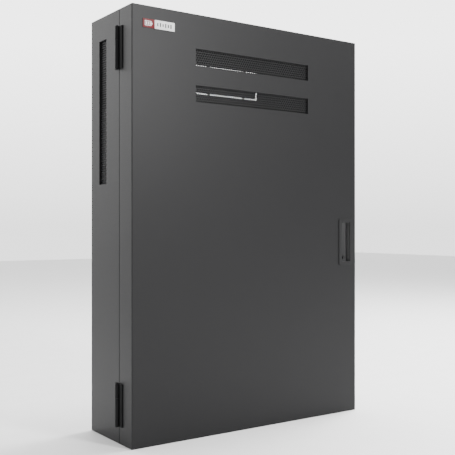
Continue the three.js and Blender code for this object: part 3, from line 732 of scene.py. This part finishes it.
def smooth_path(points, spacing=3 * MM):
    """A centripetal Catmull-Rom curve through the points, in short steps."""
    points = [Vector(point) for point in points]
    padded = [2 * points[0] - points[1], *points, 2 * points[-1] - points[-2]]
    path = []
    for p0, p1, p2, p3 in zip(padded, padded[1:], padded[2:], padded[3:]):
        knots = [0.0]
        for a, b in ((p0, p1), (p1, p2), (p2, p3)):
            knots.append(knots[-1] + math.sqrt((b - a).length))
        t0, t1, t2, t3 = knots
        count = max(2, round((p2 - p1).length / spacing))
        for step in range(count):
            t = t1 + (t2 - t1) * step / count
            a1 = p0.lerp(p1, (t - t0) / (t1 - t0))
            a2 = p1.lerp(p2, (t - t1) / (t2 - t1))
            a3 = p2.lerp(p3, (t - t2) / (t3 - t2))
            b1 = a1.lerp(a2, (t - t0) / (t2 - t0))
            b2 = a2.lerp(a3, (t - t1) / (t3 - t1))
            path.append(b1.lerp(b2, (t - t1) / (t2 - t1)))
    path.append(points[-1])
    return path


def add_sweep(bm, path, radius, sides=14, material=0):
    """A round rod along a path, closed at both ends. radius is a number or a function of the
    distance from the start and to the end."""
    lengths = [0.0]
    for a, b in zip(path, path[1:]):
        lengths.append(lengths[-1] + (b - a).length)
    forward = (path[1] - path[0]).normalized()
    across = forward.orthogonal().normalized()
    rings = []
    for index, point in enumerate(path):
        before = path[max(index - 1, 0)]
        after = path[min(index + 1, len(path) - 1)]
        turned = (after - before).normalized()
        across = (forward.rotation_difference(turned) @ across).normalized()
        forward = turned
        up = forward.cross(across)
        reach = radius(lengths[index], lengths[-1] - lengths[index]) if callable(radius) else radius
        rings.append([bm.verts.new(point + reach * (math.cos(2 * math.pi * k / sides) * across
                                                    + math.sin(2 * math.pi * k / sides) * up))
                      for k in range(sides)])
    join_rings(bm, rings, material)
    close_ends(bm, rings, material)


# ---------- cells and their links
CELLS_PER_ROW = 8
TERMINAL_REACH = 61 * MM
TERMINAL_TOP = 207 * MM
LID = 203.2 * MM
ROW_FIRST_CELL = {"lower": 1, "upper": 1 + CELLS_PER_ROW}


def cell_data(size):
    """A prismatic cell standing on the origin: a can in its film, a lid, a vent, two terminals."""
    half_x, half_y = size.x / 2, size.y / 2
    film, metal, gasket = 0, 1, 2
    bm = bmesh.new()
    slack = 0.25 * MM
    add_tower(bm, (0, 0, 0), half_x - slack, half_y - slack, 3.5 * MM,
              [(1.0, 0, film), (0.2, 0.6, film), (0, 2, film), (0, 198, film),
               (0.15, 198.4, film), (0.3, 198.5, metal), (0.3, 203.0, metal),
               (0.9, 203.7, metal), (3.2, 203.7, metal), (3.6, 203.3, metal)])
    for side in (-1, 1):
        face = side * (half_y - slack)
        flap = sorted((face, face + side * 0.18 * MM))
        add_block(bm, (-20 * MM, flap[0], 3 * MM), (7 * MM, flap[1], 197.6 * MM), 0, 1, film)
    for side in (-1, 1):
        spot = (0, side * TERMINAL_REACH, LID)
        add_tower(bm, spot, 15 * MM, 15 * MM, 4 * MM,
                  [(0, 0, gasket), (0, 0.7, gasket), (0.4, 1.1, gasket)])
        add_lathe(bm, spot, (0, 0, 1),
                  [(9, 0), (9, 3.2), (8.5, 3.7), (3.2, 3.7), (2.9, 3.3), (2.9, 1), (0, 1)],
                  24, metal)
    add_tower(bm, (0, 0, LID), 9 * MM, 15 * MM, 8.9 * MM,
              [(0, 0, metal), (0, 0.35, metal), (1.4, 0.35, metal), (1.6, 0.1, metal)])
    add_lathe(bm, (0, 32 * MM, LID), (0, 0, 1), [(4.5, 0), (4.5, 0.5), (3.9, 0.8), (0, 0.8)],
              20, gasket)
    bm.normal_update()
    data = new_mesh("prismatic_cell", bm)
    for material in (FILM, ALUMINIUM, BLACK_PLASTIC):
        data.materials.append(material)
    data.shade_smooth()
    data.set_sharp_from_angle(angle=math.radians(35))
    return data


def add_cells():
    data = None
    for number in range(1, 2 * CELLS_PER_ROW + 1):
        node = f"cell_{number:02d}"
        low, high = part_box(node)
        if data is None:
            data = cell_data(high - low)
        piece = new_object(node + "_can", data)
        piece.location = ((low.x + high.x) / 2, (low.y + high.y) / 2, low.z)
        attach(piece, "cabinet")
        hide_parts(node)


def add_link(bm, x0, x1, y, base, material):
    """A flat bar between two terminals, with a raised bend in the middle for movement."""
    half, thick = 10 * MM, 2.4 * MM
    rise, run = 3.2 * MM, 7 * MM
    middle = (x0 + x1) / 2
    if x1 - x0 < 40 * MM:
        line = [(x0, 0), (x1, 0)]
    else:
        line = [(x0, 0), (middle - 2 * run, 0), (middle - 1.3 * run, 0.2 * rise),
                (middle - 0.75 * run, 0.8 * rise), (middle - 0.3 * run, rise),
                (middle + 0.3 * run, rise), (middle + 0.75 * run, 0.8 * rise),
                (middle + 1.3 * run, 0.2 * rise), (middle + 2 * run, 0), (x1, 0)]
    rounding = 3 * MM
    stations = [(x0, 0, half - rounding), (x0 + rounding, 0, half),
                *[(x, lift, half) for x, lift in line[1:-1]],
                (x1 - rounding, 0, half), (x1, 0, half - rounding)]
    rings = []
    for x, lift, wide in stations:
        z = base + lift
        rings.append([bm.verts.new((x, y + side, z + up)) for side, up in
                      ((-wide, 0), (wide, 0), (wide, thick), (-wide, thick))])
    join_rings(bm, rings[::-1], material)
    close_ends(bm, rings[::-1], material)


def add_carrier(level):
    """The moulded tray over a row of cells, with its windows, wire channel, links and bolts."""
    plastic, metal, bolts, wires = 0, 1, 2, 3
    low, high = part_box(f"busbar_carrier_{level}")
    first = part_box(f"cell_{ROW_FIRST_CELL[level]:02d}")
    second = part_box(f"cell_{ROW_FIRST_CELL[level] + 1:02d}")
    centres = [(first[0].x + first[1].x) / 2 + i * (second[0].x - first[0].x)
               for i in range(CELLS_PER_ROW)]
    middle_y = (first[0].y + first[1].y) / 2
    base = first[0].z
    window = 11 * MM
    xs = sorted([low.x, high.x, *[x + side * window for x in centres for side in (-1, 1)]])
    ys = sorted([low.y, high.y, *[middle_y + row * TERMINAL_REACH + side * window
                                  for row in (-1, 1) for side in (-1, 1)]])
    bm = bmesh.new()
    corners = {(i, j): bm.verts.new((x, y, base + 207.7 * MM)) for i, x in enumerate(xs)
               for j, y in enumerate(ys)}
    for i in range(len(xs) - 1):
        for j in range(len(ys) - 1):
            if not (i % 2 == 1 and j % 2 == 1):
                bm.faces.new((corners[i, j], corners[i + 1, j], corners[i + 1, j + 1],
                              corners[i, j + 1]))
    tray = new_piece(f"busbar_tray_{level}", bm, "cabinet", [BLACK_PLASTIC],
                     [f"busbar_carrier_{level}"])
    thicken(tray, 3 * MM)
    finish_edges(tray, 0.6 * MM)

    bm = bmesh.new()
    top = base + 207.8 * MM
    for side in (-1, 1):
        rail = middle_y + side * 16 * MM
        add_block(bm, (low.x + 6 * MM, rail - 0.9 * MM, top), (high.x - 6 * MM, rail + 0.9 * MM,
                                                              top + 7 * MM), 0.4 * MM, 2, plastic)
    for x in centres:
        gap = 22 * MM
        add_block(bm, (x + gap, middle_y - 15.2 * MM, top + 5.4 * MM),
                  (x + gap + 9 * MM, middle_y + 15.2 * MM, top + 7 * MM), 0.5 * MM, 2, plastic)
    for i in range(CELLS_PER_ROW - 1):
        x = (centres[i] + centres[i + 1]) / 2
        add_block(bm, (x - 1 * MM, low.y + 3 * MM, top), (x + 1 * MM, middle_y - 17 * MM,
                                                         top + 1.6 * MM), 0.3 * MM, 1, plastic)
        add_block(bm, (x - 1 * MM, middle_y + 17 * MM, top), (x + 1 * MM, high.y - 3 * MM,
                                                             top + 1.6 * MM), 0.3 * MM, 1, plastic)
    for number in range(6):
        y = middle_y + (-9 + 3.4 * number) * MM
        start = centres[number + 1]
        add_sweep(bm, smooth_path([(low.x + 12 * MM, y, top + 2 * MM), (start - 20 * MM, y,
                                   top + 2 * MM), (start - 8 * MM, y + 4 * MM, top + 2.4 * MM)]),
                  1.1 * MM, 8, wires if number == 0 else plastic)
    ends = 14 * MM
    plate = base + TERMINAL_TOP + 0.2 * MM
    for i, x in enumerate(centres):
        y = middle_y + (-1 if i % 2 == 0 else 1) * TERMINAL_REACH
        far = x + ends if i == CELLS_PER_ROW - 1 else centres[i + 1] + ends
        add_link(bm, x - ends, far, y, plate, metal)
        for spot in {x, far - ends}:
            add_hex_bolt(bm, (spot, y, plate + 2.4 * MM), (0, 0, 1), 4.6 * MM, bolts)
    start_y = middle_y + TERMINAL_REACH
    add_link(bm, centres[0] - ends, centres[0] + ends, start_y, plate, metal)
    new_piece(f"busbar_links_{level}", bm, "cabinet",
              [BLACK_PLASTIC, ALUMINIUM, ZINC, RED_SHEATH])


# ---------- cables
CABLE_RADIUS = 5.5 * MM
LUG_LENGTH = 9 * MM
LOW_LUG = 243
HIGH_LUG = 485
FIRST_X = -270.15
LAST_X = 234.55
END_Y = 70.5
# Each cable's sheath and the points that it passes, in millimetres.
CABLES = {
    "row_link": (BLACK_SHEATH, [
        (LAST_X, END_Y, LOW_LUG), (LAST_X + 26, END_Y, LOW_LUG + 1), (284, END_Y, LOW_LUG + 24),
        (290, END_Y, LOW_LUG + 60), (290, END_Y, HIGH_LUG - 60), (287, END_Y, HIGH_LUG - 20),
        (LAST_X + 32, END_Y, HIGH_LUG + 1), (LAST_X, END_Y, HIGH_LUG + 1)]),
    "pack_negative": (BLACK_SHEATH, [
        (FIRST_X, END_Y, LOW_LUG), (FIRST_X - 24, END_Y, LOW_LUG), (-313.5, END_Y, LOW_LUG + 22),
        (-314.5, END_Y, LOW_LUG + 60), (-314.5, END_Y, HIGH_LUG - 40), (-312, 54, HIGH_LUG),
        (-292, 28, 504), (-262, 22, 508), (-242, 22, 518), (-240, 22, 530), (-240, 22, 544)]),
    "pack_positive": (RED_SHEATH, [
        (FIRST_X, END_Y, HIGH_LUG), (FIRST_X + 30, END_Y, HIGH_LUG), (-170, 50, HIGH_LUG + 4),
        (-60, 28, HIGH_LUG + 6), (5, 21, 502), (24, 20.2, 530), (25, 20.2, 548), (25, 20.2, 569)]),
    "fuse_to_breaker": (RED_SHEATH, [
        (25, 20.2, 691), (25, 19, 700), (34, 15, 712), (60, 12, 716), (112, 12, 716),
        (140, 15, 711), (148, 17, 700), (148, 17, 686)]),
    "bms_to_breaker": (BLACK_SHEATH, [
        (-39, 24, 690), (-30, 24, 690), (-17, 20, 702), (-5, 15, 726), (26, 12, 738),
        (146, 10, 738), (176, 13, 727), (184, 17, 706), (184, 17, 686)]),
}
# What each cable ends in: a flat lug is given by the direction that it faces.
CABLE_ENDS = {
    "row_link": ((0, 0, 1), (0, 0, 1)), "pack_negative": ((0, 0, 1), None),
    "pack_positive": ((0, 0, 1), (0, -1, 0)), "fuse_to_breaker": ((0, -1, 0), None),
    "bms_to_breaker": (None, None),
}


def part_of(path, start, end):
    """The stretch of a path between two distances from its start."""
    stretch, walked = [], 0.0
    for a, b in zip(path, path[1:]):
        length = (b - a).length
        for stop in (start, end):
            if walked <= stop < walked + length:
                stretch.append(a.lerp(b, (stop - walked) / length))
        walked += length
        if start + 0.5 * MM < walked < end - 0.5 * MM:
            stretch.append(b)
    return stretch


def add_cable_end(bm, path, facing, sleeve, metal):
    """Shrink sleeve over the sheath and, for a bolted end, a crimped lug with its bolt."""
    tip, inward = path[0], (path[3] - path[0]).normalized()
    if facing is None:
        add_sweep(bm, part_of(path, 0.0, 20 * MM),
                  lambda a, b: CABLE_RADIUS + (0.9 * MM if b > 2 * MM else 0.1 * MM), 18, sleeve)
        return
    facing = Vector(facing)
    face_down = -facing * (CABLE_RADIUS + 1.2 * MM)
    add_sweep(bm, part_of(path, 9.5 * MM, 23 * MM),
              lambda a, b: CABLE_RADIUS + (0.75 * MM if min(a, b) > 1 * MM else 0.4 * MM),
              18, metal)
    add_sweep(bm, part_of(path, 20 * MM, 42 * MM),
              lambda a, b: CABLE_RADIUS + (1.1 * MM if b > 1.5 * MM else 0.1 * MM), 18, sleeve)
    side = inward.cross(facing).normalized()
    ends = []
    for distance, drop, half, thick in ((-9, 1.0, 4.5, 2.2), (-6.5, 1.0, 7.5, 2.2),
                                        (7, 1.0, 8, 2.2), (11, 0.75, 7.2, 3.4),
                                        (14, 0.35, 6.0, 8.5)):
        middle = tip + inward * distance * MM + face_down * drop
        ends.append([bm.verts.new(middle + side * s * half * MM + facing * u * thick * MM)
                     for s, u in ((-1, 0), (1, 0), (1, 1), (-1, 1))])
    join_rings(bm, ends, metal)
    close_ends(bm, ends, metal)
    add_hex_bolt(bm, tip + face_down + facing * 2.2 * MM, facing, 4.6 * MM, metal)


def add_cables():
    for name, (sheath, points) in CABLES.items():
        path = smooth_path([[value * MM for value in point] for point in points])
        bm = bmesh.new()
        start, end = CABLE_ENDS[name]
        trimmed = [p for p in path if (start is None or (p - path[0]).length > LUG_LENGTH)
                   and (end is None or (p - path[-1]).length > LUG_LENGTH)]
        add_sweep(bm, trimmed, CABLE_RADIUS, 18, 0)
        add_cable_end(bm, path, start, 1, 2)
        add_cable_end(bm, path[::-1], end, 1, 2)
        bmesh.ops.recalc_face_normals(bm, faces=bm.faces)
        new_piece(f"{name}_cable", bm, "cabinet", [sheath, RUBBER, TINNED],
                  [f"cable_{name}"])


# ---------- electrics
def add_block_mm(bm, origin, low, high, *details):
    """A block whose corners are given in millimetres from an origin."""
    add_block(bm, origin + Vector(low) * MM, origin + Vector(high) * MM, *details)


def add_bms_details():
    """A raised cover, status lights, ports and corner screws on the management unit."""
    cover, dark, metal, lamp, port = range(5)
    low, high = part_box("bms_case")
    wide, tall = (high.x - low.x) / MM, (high.z - low.z) / MM
    out = Vector((0, -1, 0))
    bm = bmesh.new()
    add_block_mm(bm, low, (12, -1.6, 40), (wide - 50, 1, tall - 10), 1.2 * MM, 3, cover)
    for row in range(7):
        z = 58 + 9 * row
        add_block_mm(bm, low, (30, -2, z), (120, -1.4, z + 3.2), 0.25 * MM, 2, dark)
    add_block_mm(bm, low, (wide - 44, -0.8, 40), (wide - 12, 1, tall - 44), 0.6 * MM, 2, dark)
    for number in range(6):
        spot = low + Vector((wide - 28, -0.7, 50 + 11 * number)) * MM
        add_lathe(bm, spot, out, [(3, 0), (3, 0.6), (2.2, 0.9), (2, 0.7), (1.6, 1.2), (0, 1.6)],
                  18, lamp if number < 4 else metal)
    for x in range(26, 117, 30):
        add_block_mm(bm, low, (x, -5, 9), (x + 22, 1, 27), 0.8 * MM, 2, port)
        add_block_mm(bm, low, (x + 3, -5.3, 12), (x + 19, -4.6, 24), 0.3 * MM, 1, dark)
        for pin in range(5):
            left = x + 4.5 + 3 * pin
            add_block_mm(bm, low, (left, -5.6, 15), (left + 1, -5.2, 21), 0, 1, metal)
    add_block_mm(bm, low, (wide - 62, -7, 8), (wide - 10, 1, 30), 0.8 * MM, 2, port)
    for number in range(5):
        x = wide - 55 + 9.6 * number
        add_socket_screw(bm, low + Vector((x, -7, 23)) * MM, out, 2.6 * MM, metal)
        add_block_mm(bm, low, (x - 2.8, -7.4, 10.5), (x + 2.8, -6.8, 16), 0.3 * MM, 1, dark)
    for x in (9, wide - 9):
        for z in (5.5, tall - 5.5):
            add_socket_screw(bm, low + Vector((x, 0, z)) * MM, out, 2.8 * MM, metal)
    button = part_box("bms_button")
    middle = (button[0] + button[1]) / 2
    add_lathe(bm, (middle.x, low.y + 0.1 * MM, middle.z), out,
              [(9, 0), (9, 1.2), (8.2, 1.8), (6.2, 1.8), (5.7, 1.2), (5.7, 0)], 28, metal)
    new_piece("bms_front", bm, "cabinet",
              [GREY_PLASTIC, BLACK_PLASTIC, ZINC, LAMP_GREEN, BLACK_PLASTIC])


def add_fuse():
    """A ceramic fuse link between two capped blades."""
    ceramic, cap = 0, 1
    low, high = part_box("main_fuse")
    centre = Vector(((low.x + high.x) / 2, low.y + 12 * MM, (low.z + high.z) / 2))
    bm = bmesh.new()
    add_lathe(bm, centre, (0, 0, 1), [(0, -27), (11.2, -27), (11.2, 27), (0, 27)], 32, ceramic)
    for side in (-1, 1):
        add_lathe(bm, centre, (0, 0, side),
                  [(11.2, 15), (11.9, 15.6), (11.9, 27), (11.2, 28), (0, 28)], 32, cap)
        z = sorted((centre.z + side * 28 * MM, centre.z + side * 60 * MM))
        add_block(bm, (centre.x - 8 * MM, low.y + 14.7 * MM, z[0]),
                  (centre.x + 8 * MM, low.y + 17.7 * MM, z[1]), 0.6 * MM, 2, cap)
    bmesh.ops.recalc_face_normals(bm, faces=bm.faces)
    new_piece("fuse_link", bm, "cabinet", [CERAMIC, TINNED], ["main_fuse"])


def add_breaker_details():
    """Stepped front, terminal screws, pole joint and state window on the breaker."""
    case, dark, metal, red = range(4)
    low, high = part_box("breaker_body")
    wide, tall = (high.x - low.x) / MM, (high.z - low.z) / MM
    out = Vector((0, -1, 0))
    bm = bmesh.new()
    for left in (1.2, 37.2):
        for bottom in (2, tall - 26):
            add_block_mm(bm, low, (left, -0.9, bottom), (left + 33.6, 1, bottom + 24), 0.7 * MM, 2,
                         case)
            spot = low + Vector((left + 16.8, -1, bottom + 12)) * MM
            add_lathe(bm, spot, out, [(6.4, 0), (6.4, 0.3), (5.4, 0.3), (5.4, 0.1), (0, 0.1)],
                      24, dark)
            add_socket_screw(bm, spot, out, 4.4 * MM, metal)
    slot = (tall / 2 - 13.5, tall / 2 + 13.5)
    for z0, z1 in ((1, slot[0]), (slot[1], tall - 1)):
        add_block_mm(bm, low, (wide / 2 - 0.4, -0.15, z0), (wide / 2 + 0.4, 0.5, z1), 0, 1, dark)
    add_block_mm(bm, low, (5, -0.5, 33), (17, 0.5, 41), 0.3 * MM, 2, red)
    new_piece("breaker_front", bm, "cabinet",
              [GREY_PLASTIC, BLACK_PLASTIC, ZINC, BADGE_RED])


# ---------- fasteners
def add_fasteners():
    """Screws and nuts that hold the plates, brackets and door furniture."""
    bm = bmesh.new()
    low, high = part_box("equipment_plate")
    face = low.y
    for x in (low.x + 22 * MM, -20 * MM, 110 * MM, high.x - 22 * MM):
        for z in (low.z + 9 * MM, high.z - 9 * MM):
            add_hex_bolt(bm, (x, face, z), (0, -1, 0), 4 * MM)
    for node in ("end_plate_lower", "end_plate_upper"):
        low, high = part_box(node)
        for y in (low.y + 15 * MM, high.y - 15 * MM):
            for z in (low.z + 20 * MM, high.z - 20 * MM):
                add_hex_bolt(bm, (high.x, y, z), (1, 0, 0), 3.4 * MM)
    for node in ("front_band_lower", "front_band_upper"):
        low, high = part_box(node)
        for x in (low.x + 12 * MM, high.x - 12 * MM):
            add_socket_screw(bm, (x, low.y, (low.z + high.z) / 2), (0, -1, 0), 4 * MM)
    low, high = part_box("din_rail")
    for x in (low.x + 16 * MM, high.x - 16 * MM):
        add_socket_screw(bm, (x, high.y - 1.2 * MM, (low.z + high.z) / 2), (0, -1, 0), 4 * MM)
    low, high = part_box("earth_bar")
    for x in (240 * MM, 257 * MM, 274 * MM):
        add_hex_bolt(bm, (x, 52 * MM, (low.z + high.z) / 2), (0, -1, 0), 4 * MM)
    low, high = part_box("fuse_base")
    for z in (low.z + 12 * MM, high.z - 12 * MM):
        add_socket_screw(bm, (low.x + 6 * MM, 34 * MM, z), (0, -1, 0), 3.4 * MM)
        add_socket_screw(bm, (high.x - 6 * MM, 34 * MM, z), (0, -1, 0), 3.4 * MM)
    new_piece("cabinet_screws", bm, "cabinet", [ZINC])

    bm = bmesh.new()
    low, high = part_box("latch_case")
    for x in (low.x + 4.5 * MM, high.x - 4.5 * MM):
        for z in (low.z + 4.5 * MM, high.z - 4.5 * MM):
            add_socket_screw(bm, (x, high.y, z), (0, 1, 0), 2.4 * MM)
    low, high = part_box("door_stiffener")
    for step in range(9):
        x = low.x + 12 * MM + step * (high.x - low.x - 24 * MM) / 8
        for z in (low.z + 7 * MM, high.z - 7 * MM):
            add_lathe(bm, (x, low.y + 1.4 * MM, z), (0, 1, 0),
                      [(3.2, 0), (2.9, 0.35), (1.2, 0.45), (0, 0.2)], 16, 1)
    new_piece("door_screws", bm, "door", [ZINC, PAINT])


# Bevel width of each CAD node that keeps its own mesh, in millimetres.
SOFTENED = {
    "lower_bearer": 0.5, "upper_shelf": 0.5, "end_plate_lower": 0.6,
    "end_plate_upper": 0.6, "front_band_lower": 0.3, "front_band_upper": 0.3,
    "equipment_plate": 0.5, "bms_case": 1.2, "bms_heat_sink": 0.4, "bms_button": 0.5,
    "fuse_base": 0.8, "din_rail": 0.3, "breaker_body": 0.8, "breaker_toggle": 0.8,
    "earth_bar": 0.5, "door_stiffener": 0.5, "latch_case": 0.6, "latch_bolt": 0.5,
    "lock_cylinder": 0.3, "door_gasket": 1.2, "hinge_lower_pin": 0.6, "hinge_upper_pin": 0.6,
}


add_camera()
add_world()
add_floor()
for light, setting in LIGHTS.items():
    add_area_light(light, *setting)

dress_nodes()
frame["nodes"]["lock_cylinder"].data.materials[0] = PADDLE_GREY
add_door_panel()
add_cabinet_skin()
add_back_panel()
for grille in ("door_grille_lower", "door_grille_upper"):
    add_grille(grille, 1, -1, "door")
add_grille("side_grille_left", 0, -1, "cabinet")
add_grille("side_grille_right", 0, 1, "cabinet")
add_badge()
for leaf in ("hinge_lower_body_leaf", "hinge_upper_body_leaf", "hinge_lower_door_leaf",
             "hinge_upper_door_leaf"):
    soften(leaf, 0.5 * MM)
soften("handle_bezel", 0.8 * MM, 3)
add_paddle()
add_pocket_fill_light_liner()
for pin in ("hinge_lower_pin", "hinge_upper_pin"):
    frame["nodes"][pin].data.materials[0] = HINGE_BLACK

add_cells()
for level in ("lower", "upper"):
    add_carrier(level)
add_cables()
add_bms_details()
add_fuse()
add_breaker_details()
add_fasteners()
for node, width in SOFTENED.items():
    soften(node, width * MM)
